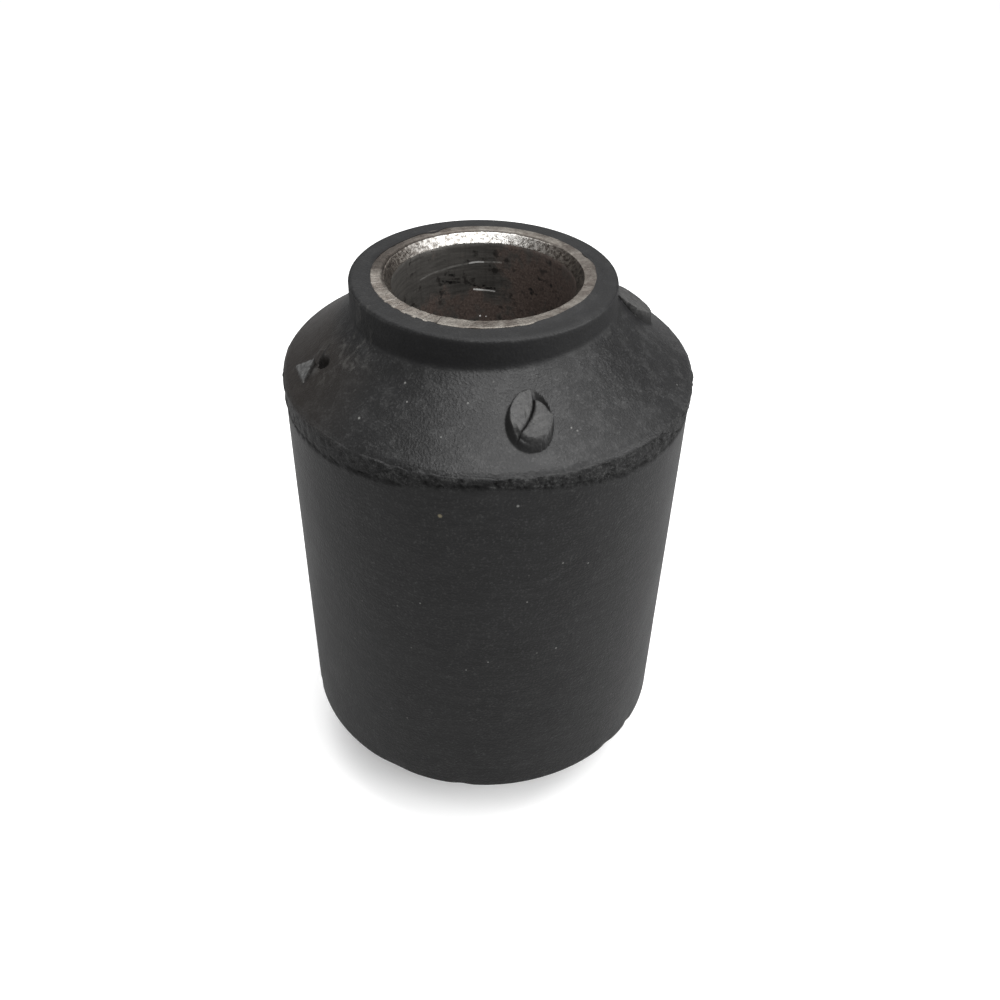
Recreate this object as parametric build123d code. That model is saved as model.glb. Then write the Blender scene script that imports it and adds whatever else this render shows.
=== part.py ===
from build123d import *
import os
from math import cos, radians, sin, tan

# Rubber and metal bush: a turned steel sleeve bonded into one rubber moulding.
# Millimetres. The origin is the middle of the bore, and +Z points to the gated end.

# Steel sleeve
bore_diameter = 30.0
sleeve_wall = 3.0
bore_chamfer_depth = 1.3
bore_chamfer_width = 0.75
sleeve_rim_break = 0.3

# Rubber moulding
body_diameter = 68.0
body_length = 71.0
flank_height = 10.8
flank_sag = 0.5
collar_height = 4.5
collar_wall = 3.5
collar_setback = 0.2
collar_rim_radius = 0.7
neck_radius = 2.5
lower_shoulder_radius = 0.5

# The mould's cavity was not quite in line with the sleeve: its axis lies this far to +X
mould_offset = 1.0

# Rough band left round the upper shoulder where the mould halves met
band_height = 4.6
band_proud = 0.4
band_rim_radius = 0.3

# Stubs of the moulding gates, torn off on the upper flank. Each has its azimuth, its share
# of the way up the flank, the height of its outer lip and the slant of its torn top.
gate_diameter = 7.0
gate_depth = 2.0
front_gate = (-77.5, 0.48, 1.7, 38.0)
left_gate = (-159.0, 0.33, 1.1, 34.0)
right_gate = (2.5, 0.89, 2.3, 25.0)

# The front stub is split by a cleft, and a pit was torn out beside the left stub
cleft_width = 0.5
cleft_depth = 0.9
cleft_aside = 0.7
pit_diameter = 2.6
pit_climb = 0.47

# Sizes that follow from the ones above
bore_radius = bore_diameter / 2
sleeve_radius = bore_radius + sleeve_wall
collar_radius = sleeve_radius + collar_wall
body_radius = body_diameter / 2
band_radius = body_radius + band_proud
shoulder_z = body_length / 2
neck_z = shoulder_z + flank_height
rubber_top_z = neck_z + collar_height
sleeve_top_z = rubber_top_z + collar_setback
flank_width = body_radius - collar_radius
flank_slope = flank_height / flank_width
flank_overlap = 0.5
flank_inner_radius = collar_radius - mould_offset - flank_overlap
flank_inner_z = shoulder_z + (body_radius - flank_inner_radius) * flank_slope
gate_radius = gate_diameter / 2


def turned(outline, rounds):
    """Revolve a closed half section round Z, with some of its corners rounded.

    outline holds edges in (radius, height): two points for a line, three for an arc through
    them. rounds pairs a corner's place with its radius.
    """
    with BuildPart() as solid:
        with BuildSketch(Plane.XZ) as section:
            with BuildLine():
                for item in outline:
                    if len(item) == 3:
                        ThreePointArc(*item)
                    else:
                        Line(*item)
            make_face()
            for place, size in rounds:
                corner = section.vertices().sort_by_distance(place)[0]
                fillet(corner, size)
        revolve(axis=Axis.Z)
    return solid.part


def chain(*points):
    """The straight lines that join points in order."""
    return list(zip(points[:-1], points[1:]))


def inner_sleeve():
    """A tube turned to length, chamfered into the bore and eased outside at both ends."""
    wall_end = sleeve_top_z - bore_chamfer_depth
    rim_end = sleeve_top_z - sleeve_rim_break
    ring_inner = bore_radius + bore_chamfer_width
    ring_outer = sleeve_radius - sleeve_rim_break
    outline = chain(
        (bore_radius, -wall_end),
        (ring_inner, -sleeve_top_z),
        (ring_outer, -sleeve_top_z),
        (sleeve_radius, -rim_end),
        (sleeve_radius, rim_end),
        (ring_outer, sleeve_top_z),
        (ring_inner, sleeve_top_z),
        (bore_radius, wall_end),
        (bore_radius, -wall_end),
    )
    return turned(outline, [])


def hollow_flank(outer, inner):
    """An arc from the shoulder to the neck, sunk by flank_sag below the straight line."""
    middle = Vector(outer[0] + inner[0], outer[1] + inner[1]) / 2
    across = Vector(inner[0] - outer[0], inner[1] - outer[1]).normalized()
    rise = 1 if inner[1] > outer[1] else -1
    sunk = middle + Vector(-across.Y, across.X) * flank_sag * rise
    return (outer, (sunk.X, sunk.Y), inner)


def body_form():
    """The wide part of the moulding, filled in: flank, wall, band and flank."""
    lower_inner = (flank_inner_radius, -flank_inner_z)
    lower_shoulder = (body_radius, -shoulder_z)
    band_foot = (body_radius, shoulder_z - band_height)
    band_lower_rim = (band_radius, shoulder_z - band_height)
    upper_shoulder = (band_radius, shoulder_z)
    upper_inner = (flank_inner_radius, flank_inner_z)
    outline = [
        ((0, -flank_inner_z), lower_inner),
        hollow_flank(lower_shoulder, lower_inner),
        *chain(lower_shoulder, band_foot, band_lower_rim, upper_shoulder),
        hollow_flank(upper_shoulder, upper_inner),
        *chain(upper_inner, (0, flank_inner_z), (0, -flank_inner_z)),
    ]
    rounds = [
        (lower_shoulder, lower_shoulder_radius),
        (upper_shoulder, band_rim_radius),
    ]
    return Pos(mould_offset, 0, 0) * turned(outline, rounds)


def collar_form():
    """The narrow part of the moulding, filled in: a collar round each end of the sleeve."""
    lower_rim = (collar_radius, -rubber_top_z)
    upper_rim = (collar_radius, rubber_top_z)
    outline = chain((0, -rubber_top_z), lower_rim, upper_rim, (0, rubber_top_z), (0, -rubber_top_z))
    return turned(outline, [(lower_rim, collar_rim_radius), (upper_rim, collar_rim_radius)])


def gate_place(azimuth, climb):
    """A place on the upper flank, climb of the way up it, with local +X pointing outwards."""
    reach = body_radius - flank_width * climb
    foot_z = shoulder_z + flank_height * climb
    return Pos(mould_offset, 0, 0) * Rot(0, 0, azimuth) * Pos(reach, 0, foot_z)


def gate_stub(azimuth, climb, lip, slant):
    """A round stub standing on the flank, with its top torn at a slant."""
    outer_foot = -gate_radius * flank_slope
    height = gate_depth + lip + gate_diameter
    column = Cylinder(gate_radius, height, align=(Align.CENTER, Align.CENTER, Align.MIN))
    column = Pos(0, 0, outer_foot - gate_depth) * column
    tear = Plane(
        origin=(gate_radius, 0, outer_foot + lip),
        x_dir=(0, 1, 0),
        z_dir=(sin(radians(slant)), 0, cos(radians(slant))),
    )
    return gate_place(azimuth, climb) * split(column, bisect_by=tear, keep=Keep.BOTTOM)


def gate_cleft(azimuth, climb, lip, slant):
    """The groove that a fold left across a stub's torn top, along its slant."""
    top_z = lip - gate_radius * flank_slope + gate_radius * tan(radians(slant))
    groove = Box(2 * gate_diameter, cleft_width, 2 * cleft_depth)
    return gate_place(azimuth, climb) * Pos(0, cleft_aside, top_z) * Rot(0, slant, 0) * groove


def torn_pit(azimuth):
    """The hollow where a piece of the flank came away with the gate."""
    return gate_place(azimuth, pit_climb) * Sphere(pit_diameter / 2)


def rubber_body():
    """The whole moulding, hollowed where it is bonded to the sleeve."""
    body = body_form()
    collar = collar_form()
    moulding = body + collar
    neck_edges = new_edges(body, collar, combined=moulding)
    moulding = fillet(neck_edges, neck_radius)
    for gate in (front_gate, left_gate, right_gate):
        moulding += gate_stub(*gate)
    moulding -= gate_cleft(*front_gate)
    moulding -= torn_pit(left_gate[0])
    return moulding - Cylinder(sleeve_radius, 2 * sleeve_top_z)


nodes = {
    "rubber_body": rubber_body(),
    "inner_sleeve": inner_sleeve(),
}

os.makedirs("parts", exist_ok=True)
for name, shape in nodes.items():
    export_step(shape, f"parts/{name}.step")
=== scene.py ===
import math
import bpy
import numpy as np
from mathutils import Matrix, Vector


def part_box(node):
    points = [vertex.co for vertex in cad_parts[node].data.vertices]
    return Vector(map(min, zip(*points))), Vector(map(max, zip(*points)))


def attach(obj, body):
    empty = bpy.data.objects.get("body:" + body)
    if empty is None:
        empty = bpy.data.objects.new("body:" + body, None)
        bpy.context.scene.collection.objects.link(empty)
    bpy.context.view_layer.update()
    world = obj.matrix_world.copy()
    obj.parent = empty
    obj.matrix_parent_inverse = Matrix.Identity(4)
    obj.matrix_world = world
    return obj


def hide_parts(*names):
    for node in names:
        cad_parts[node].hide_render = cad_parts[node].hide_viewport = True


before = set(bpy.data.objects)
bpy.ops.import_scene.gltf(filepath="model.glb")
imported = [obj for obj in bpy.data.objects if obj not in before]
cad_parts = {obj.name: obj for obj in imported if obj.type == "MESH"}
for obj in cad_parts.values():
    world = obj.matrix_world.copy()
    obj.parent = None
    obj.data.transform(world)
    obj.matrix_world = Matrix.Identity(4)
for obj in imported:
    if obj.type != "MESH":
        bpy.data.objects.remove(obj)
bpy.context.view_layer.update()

MM = 0.001
rubber_low, rubber_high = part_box("rubber_body")
sleeve_low, sleeve_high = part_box("inner_sleeve")

# Sizes in millimetres, read from the frame
mould_offset = (rubber_high.x + rubber_low.x) / 2 / MM
band_radius = (rubber_high.x - rubber_low.x) / 2 / MM
rubber_top = rubber_high.z / MM
sleeve_radius = sleeve_high.x / MM
sleeve_top = sleeve_high.z / MM

# Sizes in millimetres of what the frame's boxes don't give. The bore and its chamfer follow
# the photo, where the opening is a little tighter than in the CAD.
body_radius = 34.0
bore_radius = 14.8
ring_inner = 16.0
chamfer_depth = 1.7
collar_radius = 21.5
shoulder_z = 35.5
neck_z = 46.3
flank_sag = 0.5
flank_overlap = 0.5

# The flank is an arc from the band's radius in to arc_inner, which lies inside the collar
arc_inner = collar_radius - mould_offset - flank_overlap
arc_slope = (neck_z - shoulder_z) / (body_radius - collar_radius)
arc_top = shoulder_z + (body_radius - arc_inner) * arc_slope

# Columns round each turned piece, which keep it under 200 000 triangles
moulding_columns = 600
sleeve_columns = 720


# Noise that gives the same result each run

# Multipliers that scatter a grid cell's three numbers and the seed into one hash
hash_x, hash_y, hash_z, hash_seed = 374761393, 668265263, 2147483647, 1274126177
hash_top = 0xFFFFFF
grid_shift = 1000.0
layer_fade = 0.55


def value_noise(points, size, seed):
    """Smooth noise from 0 to 1 at an array of points, with bumps about size across."""
    q = np.asarray(points, float) / size + grid_shift
    cell = np.floor(q).astype(np.int64)
    t = q - cell
    t = t * t * (3 - 2 * t)
    total = np.zeros(len(q))
    for dx in (0, 1):
        for dy in (0, 1):
            for dz in (0, 1):
                h = (cell[:, 0] + dx) * hash_x + (cell[:, 1] + dy) * hash_y
                h = h + (cell[:, 2] + dz) * hash_z + seed * hash_seed
                h = (h ^ (h >> 13)) * hash_seed
                h = (h ^ (h >> 16)) & hash_top
                wx = t[:, 0] if dx else 1 - t[:, 0]
                wy = t[:, 1] if dy else 1 - t[:, 1]
                wz = t[:, 2] if dz else 1 - t[:, 2]
                total += wx * wy * wz * (h / hash_top)
    return total


def layered_noise(points, size, seed, layers=3):
    """Noise from about -1 to 1 with finer and weaker layers on top."""
    total = np.zeros(len(points))
    weight, sum_of_weights = 1.0, 0.0
    for layer in range(layers):
        total += weight * (2 * value_noise(points, size / 2**layer, seed + layer) - 1)
        sum_of_weights += weight
        weight *= layer_fade
    return total / sum_of_weights


def ramp(x, low, high):
    """0 below low, 1 above high and smooth between."""
    t = np.clip((np.asarray(x, float) - low) / (high - low), 0, 1)
    return t * t * (3 - 2 * t)


def bell(x, middle, width):
    """1 at the middle, falling to 0 about two widths away."""
    return np.exp(-(((np.asarray(x, float) - middle) / width) ** 2))


# Turned outlines

# Length of one step round a rounded corner, and the fewest steps there
arc_step = 0.35
fewest_arc_steps = 3


def rounded_corner(before, here, after, size):
    """The points of an arc of radius size that rounds the corner at here."""
    if size <= 0:
        return [here]
    a, b = (before - here).normalized(), (after - here).normalized()
    half = a.angle(b) / 2
    reach = size / math.tan(half)
    middle = here + (a + b).normalized() * (size / math.sin(half))
    first, last = here + a * reach, here + b * reach
    steps = max(fewest_arc_steps, round((math.pi - 2 * half) * size / arc_step))
    turn = (first - middle).angle_signed(last - middle)
    arc = []
    for k in range(steps + 1):
        spoke = first - middle
        spoke.rotate(Matrix.Rotation(-turn * k / steps, 2))
        arc.append(middle + spoke)
    return arc


def rounded_outline(corners):
    """Points along a closed outline, in order.

    Each corner has its radius, its height, the radius that rounds it and the step on the
    stretch that follows it.
    """
    places = [Vector(corner[:2]) for corner in corners]
    count = len(corners)
    arcs = []
    for i in range(count):
        arcs.append(rounded_corner(places[i - 1], places[i], places[(i + 1) % count], corners[i][2]))
    points = []
    for i in range(count):
        points += arcs[i]
        a, b = arcs[i][-1], arcs[(i + 1) % count][0]
        steps = max(1, round((b - a).length / corners[i][3]))
        points += [a.lerp(b, k / steps) for k in range(1, steps)]
    return np.array([(p.x, p.y) for p in points])


def revolve(outline, angle):
    """Vertices, quads and each vertex's angle of a closed outline turned round Z."""
    columns, rows = len(angle), len(outline)
    radius = np.repeat(outline[:, 0], columns)
    height = np.repeat(outline[:, 1], columns)
    theta = np.tile(angle, rows)
    vertices = np.stack([radius * np.cos(theta), radius * np.sin(theta), height], 1)
    row, column = np.meshgrid(np.arange(rows), np.arange(columns), indexing="ij")
    next_row, next_column = (row + 1) % rows, (column + 1) % columns
    quads = np.stack(
        [
            row * columns + column,
            next_row * columns + column,
            next_row * columns + next_column,
            row * columns + next_column,
        ],
        -1,
    ).reshape(-1, 4)
    return vertices, quads, theta


def outwards(theta):
    """Unit arrows that point away from Z at each angle."""
    return np.stack([np.cos(theta), np.sin(theta), np.zeros_like(theta)], 1)


def make_mesh(name, vertices, faces, materials, smooth=True, crisp_above=None):
    """A mesh object in metres from vertices in millimetres, with edges crisp above an angle."""
    mesh = bpy.data.meshes.new(name)
    mesh.from_pydata((np.asarray(vertices) * MM).tolist(), [], np.asarray(faces).tolist())
    mesh.validate()
    mesh.polygons.foreach_set("use_smooth", [smooth] * len(mesh.polygons))
    if crisp_above is not None:
        mesh.set_sharp_from_angle(angle=math.radians(crisp_above))
    for material in materials:
        mesh.materials.append(material)
    obj = bpy.data.objects.new(name, mesh)
    bpy.context.scene.collection.objects.link(obj)
    return obj


def paint(obj, name, values):
    """Stores one number per vertex under a name that a material can read."""
    layer = obj.data.attributes.new(name, "FLOAT", "POINT")
    layer.data.foreach_set("value", np.asarray(values, np.float32))


# Materials


class Graph:
    """A short way to write a material's nodes."""

    # Places of the colour sockets on a mix node, which share their names with other sockets
    mix_a, mix_b, mix_result = 6, 7, 2

    # Shares of a spot's, a stroke's and a speck's size that are at full strength
    spot_core, stroke_core, speck_core = 0.45, 0.3, 0.4

    def __init__(self, name):
        self.material = bpy.data.materials.new(name)
        self.material.use_nodes = True
        self.tree = self.material.node_tree
        self.shader = self.tree.nodes["Principled BSDF"]
        self.place = self.add("ShaderNodeTexCoord").outputs["Object"]

    def add(self, kind, **settings):
        node = self.tree.nodes.new(kind)
        for key, value in settings.items():
            setattr(node, key, value)
        return node

    def link(self, value, socket):
        """Joins a socket to another socket, or gives it a constant value."""
        if isinstance(value, bpy.types.NodeSocket):
            self.tree.links.new(value, socket)
        else:
            socket.default_value = value

    def scaled(self, x, y=None, z=None, turn=(0, 0, 0)):
        """Object coordinates times a scale in bumps per metre."""
        node = self.add("ShaderNodeMapping")
        self.link(self.place, node.inputs["Vector"])
        node.inputs["Rotation"].default_value = turn
        node.inputs["Scale"].default_value = (x, x if y is None else y, x if z is None else z)
        return node.outputs["Vector"]

    def noise(self, vector, detail=3.0, roughness=0.55, distortion=0.0):
        node = self.add("ShaderNodeTexNoise")
        self.link(vector, node.inputs["Vector"])
        node.inputs["Scale"].default_value = 1.0
        node.inputs["Detail"].default_value = detail
        node.inputs["Roughness"].default_value = roughness
        node.inputs["Distortion"].default_value = distortion
        return node.outputs["Fac"]

    def attribute(self, name):
        return self.add("ShaderNodeAttribute", attribute_name=name).outputs["Fac"]

    def math(self, operation, a, b=0.0, clamp=False):
        node = self.add("ShaderNodeMath", operation=operation, use_clamp=clamp)
        self.link(a, node.inputs[0])
        self.link(b, node.inputs[1])
        return node.outputs["Value"]

    def product(self, a, b):
        return self.math("MULTIPLY", a, b)

    def spread(self, value, low, high, out_low=0.0, out_high=1.0):
        """Maps low..high to out_low..out_high, clamped."""
        node = self.add("ShaderNodeMapRange", clamp=True)
        self.link(value, node.inputs["Value"])
        node.inputs["From Min"].default_value = low
        node.inputs["From Max"].default_value = high
        node.inputs["To Min"].default_value = out_low
        node.inputs["To Max"].default_value = out_high
        return node.outputs["Result"]

    def mix(self, factor, a, b):
        """Colour a where factor is 0 and colour b where it is 1."""
        node = self.add("ShaderNodeMix", data_type="RGBA")
        self.link(factor, node.inputs["Factor"])
        for value, socket in ((a, node.inputs[self.mix_a]), (b, node.inputs[self.mix_b])):
            self.link((*value, 1) if isinstance(value, tuple) else value, socket)
        return node.outputs[self.mix_result]

    def bump(self, height, strength, distance, normal=None):
        node = self.add("ShaderNodeBump")
        self.link(height, node.inputs["Height"])
        node.inputs["Strength"].default_value = strength
        node.inputs["Distance"].default_value = distance
        if normal is not None:
            self.link(normal, node.inputs["Normal"])
        return node.outputs["Normal"]

    def vector_math(self, operation, a, b=None, scale=None):
        node = self.add("ShaderNodeVectorMath", operation=operation)
        self.link(a, node.inputs[0])
        if b is not None:
            self.link(b, node.inputs[1])
        if scale is not None:
            self.link(scale, node.inputs["Scale"])
        return node

    def spot(self, place, radius):
        """1 inside a small ball round a place in millimetres, soft at its edge."""
        centre = tuple(value * MM for value in place)
        away = self.vector_math("DISTANCE", self.place, centre).outputs["Value"]
        return self.spread(away, radius * MM, radius * self.spot_core * MM)

    def unrolled(self, radius, size, amount):
        """Millimetres round and along the bore's wall, shaken by noise of a size per metre."""
        parts = self.add("ShaderNodeSeparateXYZ")
        self.link(self.place, parts.inputs[0])
        turn = self.math("ARCTAN2", parts.outputs["Y"], parts.outputs["X"])
        shake = self.spread(self.noise(self.scaled(size)), 0.3, 0.7, -amount, amount)
        flat = self.add("ShaderNodeCombineXYZ")
        self.link(self.product(turn, radius), flat.inputs["X"])
        along = self.product(parts.outputs["Z"], 1 / MM)
        self.link(self.math("ADD", along, shake), flat.inputs["Y"])
        return flat.outputs["Vector"]

    def stroke(self, flat, radius, first, last, width):
        """A soft line on an unrolled wall between two (azimuth in degrees, height) places."""
        start = (radius * math.radians(first[0]), first[1], 0)
        reach = (radius * math.radians(last[0] - first[0]), last[1] - first[1], 0)
        squared_length = reach[0] ** 2 + reach[1] ** 2
        gone = self.vector_math("SUBTRACT", flat, start).outputs["Vector"]
        dot = self.vector_math("DOT_PRODUCT", gone, reach).outputs["Value"]
        share = self.math("DIVIDE", dot, squared_length, clamp=True)
        along = self.vector_math("SCALE", reach, scale=share).outputs["Vector"]
        away = self.vector_math("DISTANCE", gone, along).outputs["Value"]
        return self.spread(away, width, width * self.stroke_core)

    def strongest(self, masks):
        total = masks[0]
        for mask in masks[1:]:
            total = self.math("MAXIMUM", total, mask)
        return total

    def specks(self, vector, scale, size, share):
        """Small round specks: a cell's centre, in only a share of the cells."""
        cells = self.add("ShaderNodeTexVoronoi", feature="F1")
        self.link(vector, cells.inputs["Vector"])
        cells.inputs["Scale"].default_value = scale
        chosen = self.add("ShaderNodeSeparateColor")
        self.link(cells.outputs["Color"], chosen.inputs["Color"])
        near = self.spread(cells.outputs["Distance"], size, size * self.speck_core)
        pick = self.math("LESS_THAN", chosen.outputs["Red"], share)
        return self.product(near, pick)


# Light dust grains on the rubber: azimuth, distance from the moulding's axis, height, size
flank_grains = [(-119.0, 24.4, 43.3, 0.22), (-115.6, 26.4, 41.6, 0.2), (-95.5, 25.3, 42.6, 0.2)]
flank_grains += [(-128.0, 30.2, 38.5, 0.26), (-102.0, 29.5, 39.0, 0.16), (-64.0, 29.0, 39.4, 0.18)]
wall_grains = [(-81.1, 34.0, 30.5, 0.28), (-106.4, 34.0, 9.4, 0.2), (-77.5, 34.0, 10.9, 0.18)]
wall_grains += [(-68.2, 34.0, 17.9, 0.2), (-60.5, 34.0, 16.3, 0.2), (-68.2, 34.0, -1.0, 0.22)]
wall_grains += [(-87.6, 34.0, -2.3, 0.2), (-93.7, 34.0, -4.4, 0.18), (-112.0, 34.0, -20.0, 0.16)]
sand_grain = (-100.4, 34.0, 28.1, 0.42)

# Colours of the bare rubber, and the blacks painted as shade on the collar and in the crevices
deep_black, plain_black = (0.0040, 0.0040, 0.0042), (0.0080, 0.0080, 0.0083)
scuff_grey, streak_grey, bloom_grey = (0.036, 0.036, 0.036), (0.018, 0.018, 0.018), (0.048, 0.048, 0.048)
warm_brown, chalk_grey = (0.021, 0.0165, 0.0135), (0.08, 0.078, 0.073)
collar_shade_black, crevice_shade_black = (0.0045, 0.0045, 0.005), (0.003, 0.003, 0.003)

# Colours of the rough band, of torn rubber, of the palest tear, which is torn rubber painted paler as a
# highlight, and of what lies on the rubber
band_dark, band_light = (0.0035, 0.0035, 0.0036), (0.045, 0.045, 0.044)
tear_dark, tear_light = (0.034, 0.0335, 0.033), (0.075, 0.074, 0.072)
pale_tear_highlight_dark, pale_tear_highlight_light = (0.055, 0.055, 0.054), (0.12, 0.12, 0.118)
grain_colour, sand_colour, dust_colour = (0.22, 0.22, 0.21), (0.22, 0.19, 0.12), (0.2, 0.2, 0.19)


def on_moulding(azimuth, reach, height):
    """A place about the moulding's axis, in millimetres from the bore's middle."""
    angle = math.radians(azimuth)
    return (mould_offset + reach * math.cos(angle), reach * math.sin(angle), height)


def rubber_material():
    g = Graph("moulded_rubber")
    rough_band = g.attribute("rough_band")
    torn = g.attribute("torn")
    dull_and_shaded = g.attribute("dull_and_shaded")
    wrinkled = g.attribute("wrinkled")
    flank = g.attribute("flank")
    recess_shade = g.strongest([g.attribute("shade"), g.attribute("crease")])
    patches = g.noise(g.scaled(90), detail=4.0)
    grain = g.noise(g.scaled(2600), detail=2.0)
    fine = g.noise(g.scaled(6500), detail=1.0)
    cloud = g.noise(g.scaled(420), detail=4.0, roughness=0.65)
    streaks = g.noise(g.scaled(150, 150, 1300, turn=(0.35, 0.2, 0)), detail=3.0, roughness=0.6)
    flow = g.noise(g.scaled(620, 620, 300, turn=(0.3, 0.5, 0.2)), detail=4.0, distortion=0.5)
    mottle = g.noise(g.scaled(1400), detail=3.0, roughness=0.6)
    crumbs = g.noise(g.scaled(1900), detail=3.0, roughness=0.7)
    pits = g.noise(g.scaled(1500), detail=4.0, roughness=0.7)

    # Black rubber with scuffs on the flanks, streaks on the wall and a grey bloom
    colour = g.mix(g.spread(patches, 0.35, 0.65), deep_black, plain_black)
    scuffed = g.product(g.spread(cloud, 0.50, 0.66), g.spread(flank, 0.0, 1.0, 0.10, 0.42))
    colour = g.mix(scuffed, colour, scuff_grey)
    streaked = g.product(g.spread(streaks, 0.46, 0.68), g.spread(flank, 0.0, 1.0, 0.38, 0.1))
    colour = g.mix(streaked, colour, streak_grey)
    bloom = g.product(g.spread(grain, 0.54, 0.74), g.spread(cloud, 0.36, 0.6, 0.2, 0.75))
    colour = g.mix(bloom, colour, bloom_grey)
    colour = g.mix(g.product(g.attribute("warm"), 0.6), colour, warm_brown)

    # The band, the collar's wall painted dark as shade, the wrinkles, the tears, and the crevices
    # painted dark as shade
    band_colour = g.mix(g.spread(crumbs, 0.50, 0.62), band_dark, band_light)
    colour = g.mix(g.product(rough_band, 0.8), colour, band_colour)
    # Painted shade: the collar's wall and top rim are darkened towards black
    colour = g.mix(g.product(dull_and_shaded, 0.85), colour, collar_shade_black)
    chalky = g.product(g.spread(flow, 0.52, 0.64), wrinkled)
    colour = g.mix(g.product(chalky, 0.55), colour, chalk_grey)
    tear = g.mix(g.spread(mottle, 0.35, 0.65), tear_dark, tear_light)
    colour = g.mix(g.math("MULTIPLY", torn, 0.8, clamp=True), colour, tear)
    # Torn values above 1 are painted paler still: a painted highlight on torn rubber that faces the
    # light
    pale_tear_highlight = g.mix(g.spread(mottle, 0.38, 0.62), pale_tear_highlight_dark, pale_tear_highlight_light)
    colour = g.mix(g.spread(torn, 1.0, 1.6), colour, pale_tear_highlight)
    # Painted shade: the crevices, the band's crease, the pit and the gates' walls and gaps are darkened
    # towards black
    colour = g.mix(g.product(recess_shade, 0.85), colour, crevice_shade_black)

    # What lies on the rubber
    grains = [g.spot(on_moulding(*grain_at[:3]), grain_at[3]) for grain_at in flank_grains + wall_grains]
    colour = g.mix(g.product(g.strongest(grains), 0.7), colour, grain_colour)
    sand = g.spot(on_moulding(*sand_grain[:3]), sand_grain[3])
    colour = g.mix(g.product(sand, 0.8), colour, sand_colour)
    dust = g.specks(g.scaled(1), 480.0, 0.10, 0.05)
    colour = g.mix(g.product(dust, 0.45), colour, dust_colour)
    g.link(colour, g.shader.inputs["Base Color"])

    roughness = g.spread(patches, 0.3, 0.7, 0.38, 0.46)
    roughness = g.math("ADD", roughness, g.product(rough_band, 0.2))
    roughness = g.math("ADD", roughness, g.product(dull_and_shaded, 0.3))
    roughness = g.math("ADD", roughness, g.product(recess_shade, 0.4), clamp=True)
    g.link(roughness, g.shader.inputs["Roughness"])
    g.shader.inputs["Specular IOR Level"].default_value = 0.36

    normal = g.bump(grain, 0.45, 0.00018)
    normal = g.bump(fine, 0.15, 0.00006, normal)
    normal = g.bump(cloud, 0.14, 0.0006, normal)
    normal = g.bump(streaks, 0.22, 0.00015, normal)
    normal = g.bump(g.product(pits, rough_band), 0.9, 0.0006, normal)
    normal = g.bump(g.product(flow, wrinkled), 0.8, 0.0006, normal)
    normal = g.bump(g.product(mottle, torn), 0.5, 0.0002, normal)
    g.link(normal, g.shader.inputs["Normal"])
    return g.material


# Colours of the steel: the turned end, the chamfer's shaded side and its side painted with a highlight,
# and the bore
end_dark, end_light, end_grain = (0.125, 0.108, 0.095), (0.245, 0.228, 0.205), (0.10, 0.085, 0.073)
cut_light, end_shade, burr_groove_shade = (0.30, 0.28, 0.255), (0.070, 0.060, 0.053), (0.022, 0.018, 0.015)
shaded_chamfer_dark, shaded_chamfer_light = (0.055, 0.045, 0.038), (0.17, 0.15, 0.13)
lit_chamfer_dark, lit_chamfer_light = (0.28, 0.26, 0.235), (0.95, 0.94, 0.91)
bore_dark, bore_light, rib_dark = (0.085, 0.081, 0.075), (0.13, 0.124, 0.115), (0.055, 0.051, 0.047)
rust_dark, rust_light = (0.060, 0.043, 0.036), (0.115, 0.087, 0.074)
scuff_dark, gouge_dark = (0.014, 0.012, 0.011), (0.004, 0.004, 0.004)
arc_sheen_light, glint_light = (0.42, 0.41, 0.39), (0.95, 0.95, 0.93)


def steel_ring_material():
    g = Graph("turned_steel_end")
    stain = g.noise(g.scaled(420), detail=5.0, roughness=0.65)
    grain = g.noise(g.scaled(2600), detail=3.0, roughness=0.65)
    colour = g.mix(g.spread(stain, 0.38, 0.62), end_dark, end_light)
    colour = g.mix(g.product(g.spread(grain, 0.5, 0.75), 0.4), colour, end_grain)
    colour = g.mix(g.product(g.attribute("cut"), 0.6), colour, cut_light)
    # Painted shade: the ring's end is darker at the left
    colour = g.mix(g.product(g.attribute("ring_shade"), 0.85), colour, end_shade)
    # Painted shade: the burr's groove along the ring's inner edge is darkened
    colour = g.mix(g.product(g.attribute("burr"), 0.9), colour, burr_groove_shade)
    g.link(colour, g.shader.inputs["Base Color"])
    g.shader.inputs["Metallic"].default_value = 1.0
    g.link(g.spread(stain, 0.3, 0.7, 0.44, 0.58), g.shader.inputs["Roughness"])
    normal = g.bump(grain, 0.5, 0.0002)
    g.link(g.bump(stain, 0.35, 0.0006, normal), g.shader.inputs["Normal"])
    return g.material


def steel_chamfer_material():
    g = Graph("chamfer_with_painted_highlight")
    grain = g.noise(g.scaled(1700), detail=4.0, roughness=0.7)
    shaded_chamfer = g.mix(g.spread(grain, 0.42, 0.6), shaded_chamfer_dark, shaded_chamfer_light)
    lit_chamfer = g.mix(g.spread(grain, 0.40, 0.56), lit_chamfer_dark, lit_chamfer_light)
    # The chamfer is one steel painted twice, as a shaded copy and as a copy with a painted highlight
    g.link(g.mix(g.attribute("bright"), shaded_chamfer, lit_chamfer), g.shader.inputs["Base Color"])
    g.shader.inputs["Metallic"].default_value = 1.0
    g.link(g.spread(grain, 0.3, 0.7, 0.28, 0.45), g.shader.inputs["Roughness"])
    g.link(g.bump(grain, 0.6, 0.00025), g.shader.inputs["Normal"])
    return g.material


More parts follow.
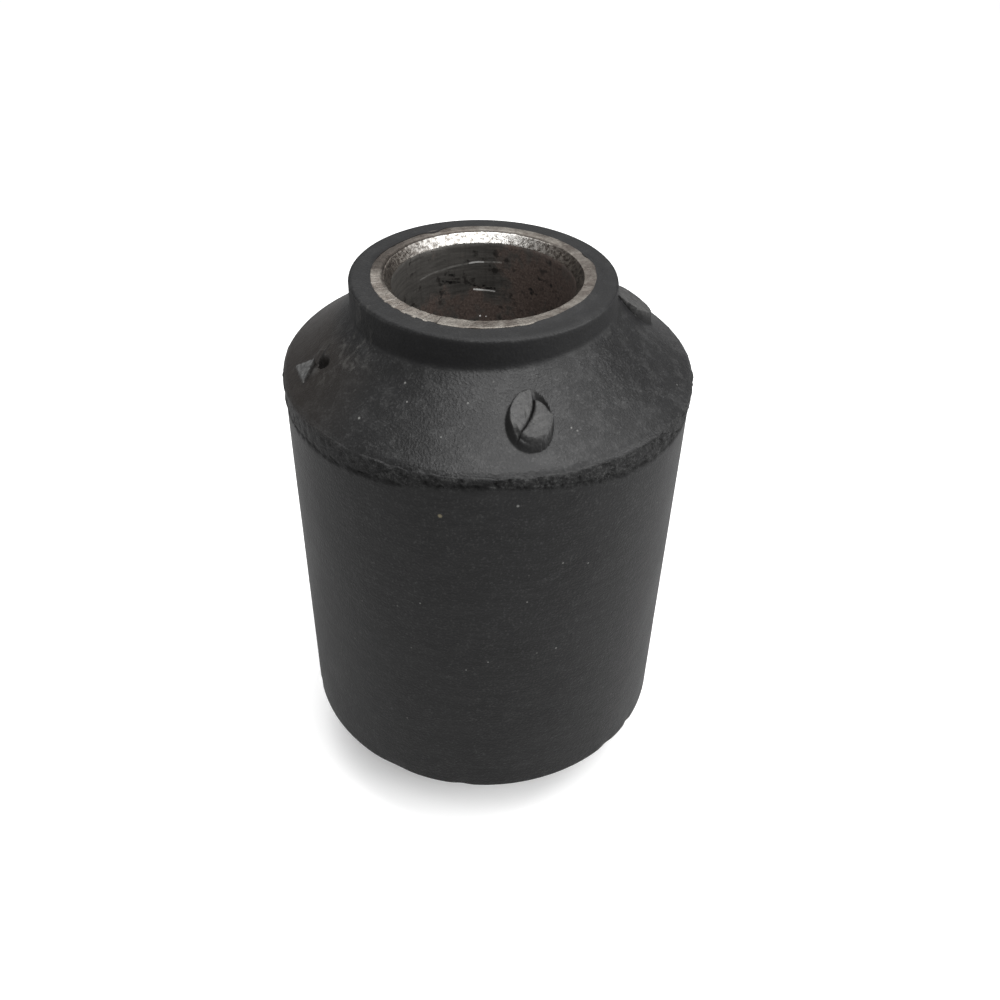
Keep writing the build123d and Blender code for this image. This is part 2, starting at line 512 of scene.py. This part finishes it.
# Marks on the bore's wall, each between two places of (azimuth in degrees, height). The arc is a worn
# line painted lighter as a sheen, and the glints are painted highlights.
worn_arc_with_sheen = [((138, 44.5), (116, 45.2)), ((116, 45.2), (98, 45.7)), ((98, 45.7), (80, 45.9))]
glint = [((101, 45.6), (92, 45.8)), ((98, 40.6), (84, 40.3))]
gouges = [((120, 42.8), (110, 42.2)), ((110, 42.2), (98, 41.7)), ((98, 41.2), (84, 40.8))]
gouges += [((118, 44.0), (112, 43.6)), ((52, 44.6), (44, 44.4)), ((59, 42.0), (53, 41.3))]
arc_width, glint_width, gouge_width = 0.24, 0.20, 0.34

# Round marks on the bore's wall: azimuth in degrees, height and size. The glint pocks are painted
# highlights.
pocks = [(43.8, 48.2, 0.8), (55.4, 42.0, 0.55), (40.8, 44.2, 0.5), (57.3, 41.3, 0.45), (38, 43.4, 0.35)]
glint_pocks = [(93.6, 35.4, 0.22), (89.5, 35.3, 0.15)]


def in_bore(azimuth, height):
    """A place on the bore's wall, in millimetres from its middle."""
    angle = math.radians(azimuth)
    return (bore_radius * math.cos(angle), bore_radius * math.sin(angle), height)


def steel_bore_material():
    g = Graph("rusty_bore")
    wavering = g.unrolled(bore_radius, 900, 0.28)
    steady = g.unrolled(bore_radius, 300, 0.10)
    stain = g.noise(g.scaled(200, 200, 150), detail=5.0, roughness=0.65)
    lines = g.noise(g.scaled(300, 300, 2500), detail=3.0)
    ribs = g.noise(g.scaled(1500, 1500, 60), detail=2.0)
    grain = g.noise(g.scaled(2500), detail=3.0)
    worn = g.spread(g.noise(g.scaled(1300), detail=2.0), 0.36, 0.56)

    # Bare steel at the left turns to brown rust at the right
    steel = g.mix(g.spread(lines, 0.35, 0.65), bore_dark, bore_light)
    steel = g.mix(g.product(g.spread(ribs, 0.5, 0.7), 0.35), steel, rib_dark)
    brown = g.mix(g.spread(grain, 0.35, 0.65), rust_dark, rust_light)
    rust = g.math("ADD", g.attribute("rust"), g.spread(stain, 0.4, 0.65, -0.45, 0.45))
    colour = g.mix(g.spread(rust, 0.3, 0.7), steel, brown)
    scuff = g.spread(g.noise(g.scaled(600), detail=3.0), 0.60, 0.68)
    colour = g.mix(g.product(scuff, 0.7), colour, scuff_dark)

    # Gouges and pocks, a worn arc painted lighter as a sheen, and glints painted as highlights
    dark = [g.stroke(wavering, bore_radius, *ends, gouge_width) for ends in gouges]
    dark += [g.spot(in_bore(*pock[:2]), pock[2]) for pock in pocks]
    colour = g.mix(g.product(g.product(g.strongest(dark), worn), 0.92), colour, gouge_dark)
    light = [g.stroke(steady, bore_radius, *ends, arc_width) for ends in worn_arc_with_sheen]
    light = g.product(g.strongest(light), g.spread(worn, 0.0, 1.0, 0.5, 1.0))
    colour = g.mix(g.product(light, 0.45), colour, arc_sheen_light)
    # Glints painted as highlights, near white
    flash = [g.stroke(steady, bore_radius, *ends, glint_width) for ends in glint]
    flash += [g.spot(in_bore(*pock[:2]), pock[2]) for pock in glint_pocks]
    colour = g.mix(g.product(g.strongest(flash), 0.9), colour, glint_light)
    g.link(colour, g.shader.inputs["Base Color"])

    g.link(g.spread(rust, 0.3, 0.7, 0.5, 0.1), g.shader.inputs["Metallic"])
    g.link(g.spread(rust, 0.3, 0.7, 0.42, 0.72), g.shader.inputs["Roughness"])
    normal = g.bump(lines, 0.3, 0.0001)
    normal = g.bump(grain, 0.3, 0.0001, normal)
    g.link(normal, g.shader.inputs["Normal"])
    return g.material


# Gate stubs

# Torn stubs on the upper flank: azimuth in degrees and distance from the moulding's axis
front_gate = (-76.6, 27.9)
left_gate = (-160.5, 29.6)
right_gate = (10.0, 23.8)
gate_radius = 3.5

# Height of a stub's outer lip above the flank, and the slant of its top in degrees
front_top = (1.5, 39.0)
right_top = (2.0, 32.0)


def flank_z(radius):
    """Height of the hollow upper flank at a distance from the moulding's axis."""
    span = band_radius - arc_inner
    share = (band_radius - radius) / span
    chord = shoulder_z + share * (arc_top - shoulder_z)
    sag = flank_sag * math.hypot(span, arc_top - shoulder_z) / span
    return chord - sag * 4 * share * (1 - share)


def gate_frame(gate, x, y):
    """Places seen from a gate: u outwards and v to the left as one looks outwards."""
    azimuth, reach = math.radians(gate[0]), gate[1]
    c, s = math.cos(azimuth), math.sin(azimuth)
    return x * c + y * s - reach, y * c - x * s


def torn_top(gate, top, u):
    """Height of a gate's slanted top."""
    lip, slant = top
    lip_z = flank_z(gate[1] + gate_radius) + lip
    return lip_z + (gate_radius - u) * math.tan(math.radians(slant))


# Each of these three takes all vertices, and their places from the moulding's axis. It returns how far a
# vertex rises, how torn it looks and how dark it is painted as shade.


def raise_front_gate(points, x, y, z):
    """A stub split by a folded leaf, which leans over a wall painted dark as shade at its left."""
    foot_radius, top_radius, top_aside = 3.38, 3.2, 0.36
    groove_width, groove_depth = 0.14, 0.9
    gap_radius, gap_width, gap_depth = 2.85, 0.32, 0.9
    leaf_height, stripe_height, dish_height = 0.16, 0.07, 0.22
    ledge_radius, ledge_drop = 3.0, 0.75

    u, v = gate_frame(front_gate, x, y)
    wave = 0.10 * layered_noise(points, 1.3, 31) + 0.05 * layered_noise(points, 0.5, 32)
    plateau = np.hypot(1.03 * u, v - top_aside) - top_radius
    plateau = plateau + 0.12 * layered_noise(points, 2.0, 33, layers=2)
    base = np.hypot(1.04 * u, v) - foot_radius
    top = torn_top(front_gate, front_top, u) + wave

    # The groove runs from the upper right of the leaf to the stub's lower left
    bend = v + 0.24 + 0.757 * u - 0.42 * (1 - ((u + 0.08) / 1.55) ** 2)
    groove = bell(bend, 0.0, groove_width) * ramp(u, -2.6, -2.0) * ramp(-u, -2.6, -1.8)
    leaf = ramp(-bend, 0.0, 0.3)
    stripes = layered_noise(np.stack([0.25 * u, v, 0 * u], 1), 0.35, 34, layers=2)
    top = top + leaf * (leaf_height * ramp(-bend, 1.6, 0.2) + stripe_height * stripes)

    # The right half is a dished disc with a gap above it, painted dark as shade
    gap = bell(np.hypot(u - 0.45, v - 0.7) - gap_radius, 0.0, gap_width) * ramp(-u, -0.2, 1.0)
    gap = gap * ramp(bend, -0.1, 0.4)
    dish = ramp(bend, 0.15, 0.8) * bell(np.hypot(u - 0.4, v - 0.8), 0.0, 1.7)
    top = top + dish_height * dish - gap_depth * gap - groove_depth * groove

    # Below the disc the tear steps down to a lower ledge
    step = ramp(np.hypot(u + 0.15, v - 0.62) - ledge_radius, -0.12, 0.12) * ramp(u, 0.8, 1.8)
    top = top - ledge_drop * step

    # The side slopes from the foot to the top's edge
    side = np.clip(base / np.minimum(base - plateau, -0.05), 0, 1)
    side = np.where(plateau < 0, 1.0, np.where(base > 0, 0.0, side))
    rise = np.maximum(top - z, 0) * side
    hidden = np.clip(groove + gap, 0, 1)
    inside = ramp(-plateau, 0.0, 0.16)
    # Torn rubber is lighter, and the leaf and the dish's middle are painted lighter still as highlights
    torn = inside * (1 - 0.9 * hidden) * (1 - 0.7 * step) * (0.35 + 0.4 * leaf + 0.5 * dish)
    wall = ramp(-base, -0.25, 0.0) * (1 - inside)
    return rise, torn, np.maximum(0.9 * wall, 0.95 * hidden * inside)


def raise_left_gate(points, x, y, z):
    """A stub torn down to a sloping facet, painted bright as a highlight, with a pit torn into the flank
    beside it.
    """
    foot_lift, slope_lift, slope_width = 0.25, 0.95, 2.4
    crumb_height, scrap_height = 0.5, 0.5
    pit_radius, pit_depth = 1.15, 2.1

    u, v = gate_frame(left_gate, x, y)
    rough = 0.16 * layered_noise(points, 1.0, 41) + 0.08 * layered_noise(points, 0.45, 42, layers=2)

    # The facet is a triangle with its peak at the inner corner
    far_left, peak, near = (2.2, -3.4), (-0.65, 0.75), (1.9, 2.6)
    sides = []
    for first, last in ((far_left, peak), (peak, near), (near, far_left)):
        du, dv = last[0] - first[0], last[1] - first[1]
        sides.append(((u - first[0]) * dv - (v - first[1]) * du) / math.hypot(du, dv))
    facet = np.minimum.reduce(sides) + 0.5 * rough
    lift = foot_lift + slope_lift * np.clip(sides[2] / slope_width, 0, 1)
    rise = ramp(facet, -0.05, 0.12) * lift

    # Crumbs stand on the pit's far side, and a light scrap lies on its near side
    crumbs = bell(np.hypot(u + 1.6, v + 0.9), 0.0, 0.9) * (0.7 + 2.5 * rough)
    scrap = bell(np.hypot(u + 0.1, (v - 2.2) * 0.7), 0.0, 0.65) * (0.5 + 2.0 * rough)
    rise = rise + crumb_height * crumbs + scrap_height * scrap
    pit = np.hypot((u + 1.85) * 1.3, (v - 1.75) * 0.8) - pit_radius - 1.9 * rough
    depth = ramp(-pit, -0.10, 0.45)
    rise = rise - pit_depth * depth
    ruffle = bell(np.hypot(u + 0.6, v), 0.0, 3.6)
    # The facet's torn value goes past 1, which paints it paler as a highlight
    torn = 1.9 * ramp(facet, -0.05, 0.15) + 0.6 * bell(np.hypot(u + 0.1, v - 2.2), 0, 0.7)
    drop = bell(np.maximum(-sides[1], 0), 0.30, 0.22) * (facet < 0) * ramp(-np.hypot(u, v), -4, -3)
    return rise + 0.6 * rough * ruffle, torn * (1 - depth), np.maximum(depth, 0.8 * drop)


def raise_right_gate(points, x, y, z):
    """A whole stub with a slanted, slightly dished top that runs into the neck."""
    rim_height = 0.16

    u, v = gate_frame(right_gate, x, y)
    wave = 0.07 * layered_noise(points, 1.5, 51) + 0.04 * layered_noise(points, 0.5, 52)
    edge = np.hypot(u, v) - gate_radius + 0.5 * wave
    rim = bell(edge, -0.25, 0.22) - 0.6 * bell(np.hypot(u, v), 0, 2.2)
    top = torn_top(right_gate, right_top, u) + wave + rim_height * rim
    inside = ramp(-edge, -0.06, 0.06)
    rise = np.maximum(top - z, 0) * inside
    return rise, inside * ramp(rise, 0.05, 0.5), bell(edge, 0.1, 0.2) * ramp(u, -1.0, 1.0)


# Rubber moulding

# Where the steel ring's outer edge shows less or more: azimuth, width and how far it moves
edge_bulges = [(-115.0, 40.0, 0.30), (-40.0, 26.0, -0.45), (140.0, 22.0, -0.55)]
edge_bulges += [(121.0, 4.5, -0.75), (24.0, 3.0, -0.35), (12.0, 6.0, 0.25)]

# Soft dents along the lower edge: azimuth and width in degrees
low_dents = [(-117.0, 5.0), (-95.0, 2.5), (-44.0, 2.5), (-163.0, 1.5), (-32.0, 1.5)]
low_dent_depth, back_dent_depth = 0.22, 0.2

# The band's lower border, and how far it rises at the front and at the back
border_z, front_rise, back_rise = 30.9, 2.9, 1.0
band_reach = 1.2
relief_height, bite_depth, crease_depth = 0.26, 0.34, 0.22

# The rubber's flash over the ring, and the groove in the top face at the right
flash_foot, flash_height = 0.08, 0.22
face_groove_radius, face_groove_width, face_groove_depth = 19.35, 0.28, 0.22

# Rows are close together above band_rows_end and below low_rows_start
band_rows_end, low_rows_start = 28.6, -31.0


def ring_edge(degrees, points):
    """Where the steel ring's uneven outer edge shows, under the rubber's flash or beyond it."""
    edge = sleeve_radius + 0.12 * layered_noise(points, 3.0, 21)
    for azimuth, width, reach in edge_bulges:
        edge = edge + reach * bell(degrees, azimuth, width)
    return edge


def column_angles(count):
    """Angles round the moulding, closest together where the gates are and wide at the back."""
    fine = np.linspace(-math.pi, math.pi, 7201)
    weight = 1.0 - 0.42 * ramp(np.sin(fine), 0.0, 0.35)
    for gate in (front_gate, left_gate, right_gate):
        away = (fine - math.radians(gate[0]) + math.pi) % (2 * math.pi) - math.pi
        weight = weight + 1.9 * ramp(-np.abs(away), -math.radians(13), -math.radians(9))
    total = np.concatenate([[0.0], np.cumsum((weight[1:] + weight[:-1]) / 2)])
    return np.interp(np.arange(count) / count, total / total[-1], fine)


def moulding_grid():
    """The plain turned moulding: vertices, quads and each vertex's radius, height and angle."""
    outline = rounded_outline(
        [
            (sleeve_radius, rubber_top, 0, 0.4),
            (collar_radius, rubber_top, 0.6, 0.6),
            (collar_radius, neck_z, 1.0, 0.235),
            (body_radius, shoulder_z, 0.4, 0.29),
            (body_radius, band_rows_end, 0, 4.0),
            (body_radius, low_rows_start, 0, 0.6),
            (body_radius, -shoulder_z, 0.25, 1.6),
            (collar_radius, -neck_z, 2.5, 1.0),
            (collar_radius, -rubber_top, 0.7, 1.0),
            (sleeve_radius, -rubber_top, 0, 34.0),
        ]
    )
    vertices, quads, theta = revolve(outline, column_angles(moulding_columns))
    radius = np.repeat(outline[:, 0], moulding_columns)
    height = np.repeat(outline[:, 1], moulding_columns)
    return vertices, quads, radius, height, theta


def hollow_flanks(vertices, radius, height):
    """Moves the wide part off the bore's axis and sinks both flanks into arcs."""
    share = np.clip((radius - collar_radius) / (body_radius - collar_radius), 0, 1)
    vertices[:, 0] += mould_offset * share
    about = np.hypot(vertices[:, 0] - mould_offset, vertices[:, 1])
    straight = shoulder_z + (body_radius - radius) * arc_slope
    on_flank = ramp(-np.abs(height), -rubber_top + 0.8, -neck_z + 0.2)
    on_flank = on_flank * ramp(-radius, -body_radius, -body_radius + 0.8)
    on_flank = on_flank * ramp(radius, sleeve_radius + 0.5, collar_radius)
    vertices[:, 2] += np.sign(height) * on_flank * (flank_z(about) - straight)


def rough_shoulder(vertices, radius, height, degrees):
    """The ragged band: how far it stands out, how rough it is and how deeply creased."""
    border = border_z + front_rise * bell(degrees, -86.0, 30.0) + back_rise * bell(degrees, 95.0, 60.0)
    ragged = 0.40 * layered_noise(vertices, 3.0, 11) + 0.22 * layered_noise(vertices, 0.9, 12)
    foot = border + ragged
    brim = 0.15 + 0.40 * layered_noise(vertices, 1.6, 19)
    past_shoulder = (radius - body_radius) + (shoulder_z - height) - brim
    near_wall = radius > body_radius - band_reach
    over_brim = ramp(past_shoulder, -0.1, 0.25) * near_wall
    in_band = ramp(height, foot - 0.15, foot + 0.22) * over_brim
    proud = (band_radius - body_radius) * (0.35 + 0.40 * layered_noise(vertices, 5.0, 13))
    calm = 1 - 0.65 * bell(degrees, -150.0, 24.0)
    push = in_band * (proud + relief_height * calm * layered_noise(vertices, 0.95, 14))
    bites = ramp(layered_noise(vertices, 1.0, 15), 0.05, 0.45)
    push = push - bite_depth * calm * in_band * bites
    crease = bell(height, foot + 0.25, 0.55) * over_brim * ramp(height, 29.0, 29.6)
    crease = crease * ramp(layered_noise(vertices, 1.1, 18), -0.45, 0.35)
    rough = ramp(height, foot - 0.7, foot + 0.2) * ramp(past_shoulder, -0.35, 0.1) * near_wall
    return push - crease_depth * crease, rough * calm, crease


def unevenness(vertices, radius, height, theta):
    """How far the outside stands out where it's slightly uneven, and dented at the lower edge."""
    outer = ramp(radius, sleeve_radius + 0.3, sleeve_radius + 1.2)
    push = outer * 0.05 * layered_noise(vertices, 14.0, 16, layers=2)
    low_edge = bell(height, -shoulder_z, 1.5) * ramp(radius, 33.0, 33.8)
    for azimuth, width in low_dents:
        push = push - low_dent_depth * low_edge * bell(np.degrees(theta), azimuth, width)
    elsewhere = ramp(layered_noise(vertices, 6.0, 17, layers=2), 0.25, 0.6)
    return push - back_dent_depth * low_edge * elsewhere * (np.sin(theta) > 0)


def finish_top_face(vertices, radius, height, theta):
    """Laps a thin flash over the steel ring's edge and sinks a groove beside it at the right."""
    degrees = np.degrees(theta)
    on_face = height > rubber_top - 0.01
    cover = np.maximum(sleeve_radius - ring_edge(degrees, sleeve_radius * outwards(theta)), 0)
    inner_rim = on_face * ramp(-radius, -sleeve_radius - 0.9, -sleeve_radius)
    vertices -= outwards(theta) * (cover * inner_rim)[:, None]
    vertices[:, 2] += inner_rim * (flash_foot + flash_height * ramp(cover, 0.0, 0.15))
    groove = bell(radius, face_groove_radius, face_groove_width) * bell(degrees, 8.0, 26.0) * on_face
    vertices[:, 2] -= face_groove_depth * groove


def raise_gates(vertices, radius, height):
    """Raises the three stubs, and returns how torn each vertex looks and how dark it is painted as
    shade.
    """
    x, y = vertices[:, 0] - mould_offset, vertices[:, 1]
    on_top = (height > shoulder_z - 0.2) & (radius > collar_radius - 0.05) & (height < rubber_top - 1)
    torn, shade = np.zeros(len(vertices)), np.zeros(len(vertices))
    for raise_gate in (raise_front_gate, raise_left_gate, raise_right_gate):
        rise, bright, dark = raise_gate(vertices, x, y, vertices[:, 2])
        vertices[:, 2] += np.where(on_top, rise, 0)
        torn = np.maximum(torn, np.where(on_top, bright, 0))
        shade = np.maximum(shade, np.where(on_top, dark, 0))
    return torn, shade


def rubber_moulding():
    vertices, quads, radius, height, theta = moulding_grid()
    degrees = np.degrees(theta)
    hollow_flanks(vertices, radius, height)
    push, rough, crease = rough_shoulder(vertices, radius, height, degrees)
    push = push + unevenness(vertices, radius, height, theta)
    vertices += outwards(theta) * push[:, None]
    finish_top_face(vertices, radius, height, theta)
    torn, shade = raise_gates(vertices, radius, height)

    moulding = make_mesh("rubber_moulding", vertices, quads, [rubber_material()], crisp_above=38)
    paint(moulding, "rough_band", rough)
    paint(moulding, "crease", crease)
    paint(moulding, "torn", torn)
    paint(moulding, "shade", shade)
    paint(moulding, "flank", ramp(np.abs(height), shoulder_z - 0.5, shoulder_z + 0.5))
    left = ramp(-np.cos(theta), 0.55, 0.95) * (height > shoulder_z - 1)
    paint(moulding, "warm", left * ramp(radius, 22.0, 26.0))
    # The collar's wall and top rim are painted dark as shade, and made rougher
    wall = ramp(height, neck_z - 0.5, neck_z + 0.2) * (radius > collar_radius - 0.05)
    upper_rim = ramp(height, rubber_top - 0.5, rubber_top)
    paint(moulding, "dull_and_shaded", wall * (1 - upper_rim) + 0.75 * upper_rim)
    near_neck = bell(degrees, -146.0, 11.0) * bell(radius, 24.0, 3.0) * (height > 0)
    near_gate = bell(degrees, -154.0, 10.0) * bell(radius, 27.0, 5.0) * (height > 0)
    paint(moulding, "wrinkled", np.clip(near_neck + 0.5 * near_gate, 0, 1))
    return moulding


# Steel sleeve

wall_end = sleeve_top - chamfer_depth

# Below this height the rows of the bore's wall are far apart, because nothing shows there
bore_rows_end = 20.0

# Saw cuts across the ring at the left, and the burr along its inner edge
saw_start, saw_pitch, saw_depth = -172.0, 6.8, 0.36
burr_inset, burr_width, burr_depth = 0.10, 0.26, 0.25

# Places in the sleeve's list of materials
ring_slot, chamfer_slot, bore_slot = 0, 1, 2


def sleeve_grid():
    """The plain turned sleeve: vertices, quads and each vertex's angle."""
    outline = rounded_outline(
        [
            (bore_radius, wall_end, 0, 0.2),
            (ring_inner, sleeve_top, 0.12, 0.22),
            (sleeve_radius, sleeve_top, 0.15, 12.0),
            (sleeve_radius, -sleeve_top, 0.15, 0.6),
            (ring_inner, -sleeve_top, 0.12, 0.5),
            (bore_radius, -wall_end, 0, 2.5),
            (bore_radius, bore_rows_end, 0, 0.8),
        ]
    )
    angle = np.arange(sleeve_columns) * (2 * math.pi / sleeve_columns)
    return revolve(outline[::-1], angle)


def roughen_ring(vertices, radius, height, theta, degrees):
    """Cuts, lumps and burrs the upper end, and returns how cut it looks and where the burr's groove is
    painted dark as shade.
    """
    upper_face = (height > sleeve_top - 0.2) & (radius > ring_inner - 0.05)
    teeth = (degrees - saw_start) / saw_pitch + 0.25 * layered_noise(vertices, 4.0, 61, layers=2)
    saw = teeth - np.floor(teeth)
    cut_zone = ramp(degrees, -176.0, -170.0) * ramp(-degrees, 104.0, 116.0)
    relief = -saw_depth * cut_zone * saw * ramp(radius, ring_inner - 1.0, sleeve_radius)
    lumpy = 0.10 * bell(degrees, -88.0, 32.0) + 0.03
    relief = relief + lumpy * layered_noise(vertices, 1.1, 62)
    wander = 0.25 * layered_noise(vertices, 2.5, 63)
    burr_side = ramp(degrees, 30.0, 55.0) + ramp(-degrees, 150.0, 170.0)
    burr = bell(radius, ring_inner + burr_inset + wander, burr_width) * np.clip(burr_side, 0, 1)
    vertices[:, 2] += np.where(upper_face, relief - burr_depth * burr, 0)
    lip = np.maximum(ring_edge(degrees, vertices) - sleeve_radius, 0)
    at_lip = ramp(radius, sleeve_radius - 0.8, sleeve_radius) * (height > sleeve_top - 0.16)
    vertices += outwards(theta) * (lip * at_lip)[:, None]
    on_chamfer = (radius < ring_inner) & (radius > bore_radius + 0.02) & (height > 0)
    vertices[:, 2] += np.where(on_chamfer, 0.07 * layered_noise(vertices, 0.9, 64), 0)
    return cut_zone * ramp(-saw, -0.35, 0.0), burr


def steel_sleeve():
    vertices, quads, theta = sleeve_grid()
    radius = np.hypot(vertices[:, 0], vertices[:, 1])
    height = vertices[:, 2].copy()
    degrees = np.degrees((theta + math.pi) % (2 * math.pi) - math.pi)
    cut, burr = roughen_ring(vertices, radius, height, theta, degrees)

    materials = [steel_ring_material(), steel_chamfer_material(), steel_bore_material()]
    sleeve = make_mesh("steel_sleeve", vertices, quads, materials)
    centre_r = radius[quads].mean(1)
    centre_z = np.abs(height[quads].mean(1))
    index = np.full(len(quads), ring_slot)
    index[(centre_r < ring_inner - 0.02) & (centre_z > wall_end)] = chamfer_slot
    index[(centre_r < bore_radius + 0.05) & (centre_z <= wall_end)] = bore_slot
    sleeve.data.polygons.foreach_set("material_index", index.tolist())
    right_side = ramp(np.cos(theta + 0.15), -0.25, 0.55)
    lower_left = ramp(-height, -44.0, -38.0) * ramp(-np.cos(theta), -0.8, 0.2)
    paint(sleeve, "rust", np.clip(right_side + 0.75 * lower_left, 0, 1))
    paint(sleeve, "cut", cut)
    # Where the burr's groove is painted dark as shade
    paint(sleeve, "burr", burr * (height > 0))
    # Where the ring's end is painted darker as shade, at the left
    paint(sleeve, "ring_shade", bell(degrees, 165.0, 40.0) * (height > 0))
    # Where the chamfer gets its painted highlight, at the back
    paint(sleeve, "bright", bell(degrees, 98.0, 34.0) * (height > 0))
    return sleeve


rubber = rubber_moulding()
sleeve = steel_sleeve()
for piece, node, slot in ((rubber, "rubber_body", "rubber"), (sleeve, "inner_sleeve", "steel")):
    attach(piece, "root")
    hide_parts(node)


# Stage

# The floor is a wide disc, just below the sleeve's end so that the two don't share a plane
floor_radius, floor_sides, floor_gap = 4000.0, 64, 0.02
white, black = (1.0, 1.0, 1.0), (0.0, 0.0, 0.0)
floor_white, floor_mirrored = (0.93, 0.93, 0.93), (0.37, 0.37, 0.37)
fade_start, fade_end = 0.2, 0.8

# Lamps: name, azimuth, elevation, distance, width and height in metres, and power in watts.
# They are placed with azimuth 0 in front.
lamps = [
    ("ceiling", 150, 72, 1.0, (1.4, 1.0), 13.0),
    ("front", 12, 61, 0.9, (0.8, 0.4), 5.6),
    ("right", 74, 16, 0.9, (0.5, 0.6), 5.6),
    ("left", -88, 12, 0.9, (0.2, 0.6), 1.0),
]
studio_strength, backdrop_strength = 0.23, 1.0


def floor_material():
    """White to the camera with the object's shadow, and duller where the object mirrors it."""
    g = Graph("pale_floor")
    seen = g.add("ShaderNodeLightPath").outputs["Is Camera Ray"]
    away = g.vector_math("LENGTH", g.place).outputs["Value"]
    far = g.spread(away, fade_start, fade_end)
    near_white = g.mix(far, floor_white, black)
    g.link(g.mix(seen, floor_mirrored, near_white), g.shader.inputs["Base Color"])
    g.shader.inputs["Emission Color"].default_value = (*white, 1)
    glow = g.product(seen, g.spread(far, 0.0, 1.0, 0.2, 1.0))
    g.link(glow, g.shader.inputs["Emission Strength"])
    g.shader.inputs["Roughness"].default_value = 0.9
    g.shader.inputs["Specular IOR Level"].default_value = 0.1
    return g.material


def make_floor():
    angle = np.arange(floor_sides) * (2 * math.pi / floor_sides)
    ring = floor_radius * outwards(angle)
    floor = make_mesh("floor", ring, [list(range(floor_sides))], [floor_material()], smooth=False)
    floor.location.z = sleeve_low.z - floor_gap * MM


def add_lamp(name, azimuth, elevation, distance, size, power):
    """A rectangular lamp that faces the object."""
    lamp = bpy.data.lights.new(name, "AREA")
    lamp.shape = "RECTANGLE"
    lamp.size, lamp.size_y = size
    lamp.energy = power
    obj = bpy.data.objects.new(name, lamp)
    bpy.context.scene.collection.objects.link(obj)
    a, e = math.radians(azimuth), math.radians(elevation)
    back = Vector((math.sin(a) * math.cos(e), -math.cos(a) * math.cos(e), math.sin(e)))
    obj.location = back * distance
    obj.rotation_mode = "QUATERNION"
    obj.rotation_quaternion = back.to_track_quat("Z", "Y")


def make_world():
    """Soft light from all round, in front of a white backdrop that only the camera sees."""
    world = bpy.data.worlds.new("studio")
    bpy.context.scene.world = world
    world.use_nodes = True
    nodes, links = world.node_tree.nodes, world.node_tree.links
    studio = nodes["Background"]
    backdrop = nodes.new("ShaderNodeBackground")
    for node, strength in ((studio, studio_strength), (backdrop, backdrop_strength)):
        node.inputs["Color"].default_value = (*white, 1)
        node.inputs["Strength"].default_value = strength
    path = nodes.new("ShaderNodeLightPath")
    mix = nodes.new("ShaderNodeMixShader")
    links.new(path.outputs["Is Camera Ray"], mix.inputs[0])
    links.new(studio.outputs[0], mix.inputs[1])
    links.new(backdrop.outputs[0], mix.inputs[2])
    links.new(mix.outputs[0], nodes["World Output"].inputs["Surface"])


def make_camera():
    """The photo's camera, fitted to the cylinder, the shoulder and the collar.

    The shifts and the depth lead from the camera to the middle of the cylinder's lower edge,
    in body radii.
    """
    focal_px, image_px, sensor = 1019.1, 1000.0, 36.0
    pitch, roll = math.radians(38.29), math.radians(1.672)
    shift_right, shift_down, depth = -0.1041, 0.9329, 6.3351
    c, s, cr, sr = math.cos(pitch), math.sin(pitch), math.cos(roll), math.sin(roll)
    right = Vector((cr, sr * s, sr * c))
    down = Vector((sr, -cr * s, -cr * c))
    forward = Vector((0, c, -s))
    foot = Vector((mould_offset * MM, 0, -shoulder_z * MM))
    data = bpy.data.cameras.new("camera")
    data.sensor_width = sensor
    data.lens = focal_px / image_px * sensor
    data.clip_start, data.clip_end = 0.01, 20.0
    camera = bpy.data.objects.new("camera", data)
    bpy.context.scene.collection.objects.link(camera)
    camera.rotation_mode = "QUATERNION"
    turned = Matrix((right, -down, -forward)).transposed()
    camera.rotation_quaternion = turned.to_quaternion()
    offset = right * shift_right + down * shift_down + forward * depth
    camera.location = foot - offset * body_radius * MM
    bpy.context.scene.camera = camera


make_floor()
for lamp in lamps:
    add_lamp(*lamp)
make_world()
make_camera()
bpy.context.scene.view_settings.view_transform = "Standard"
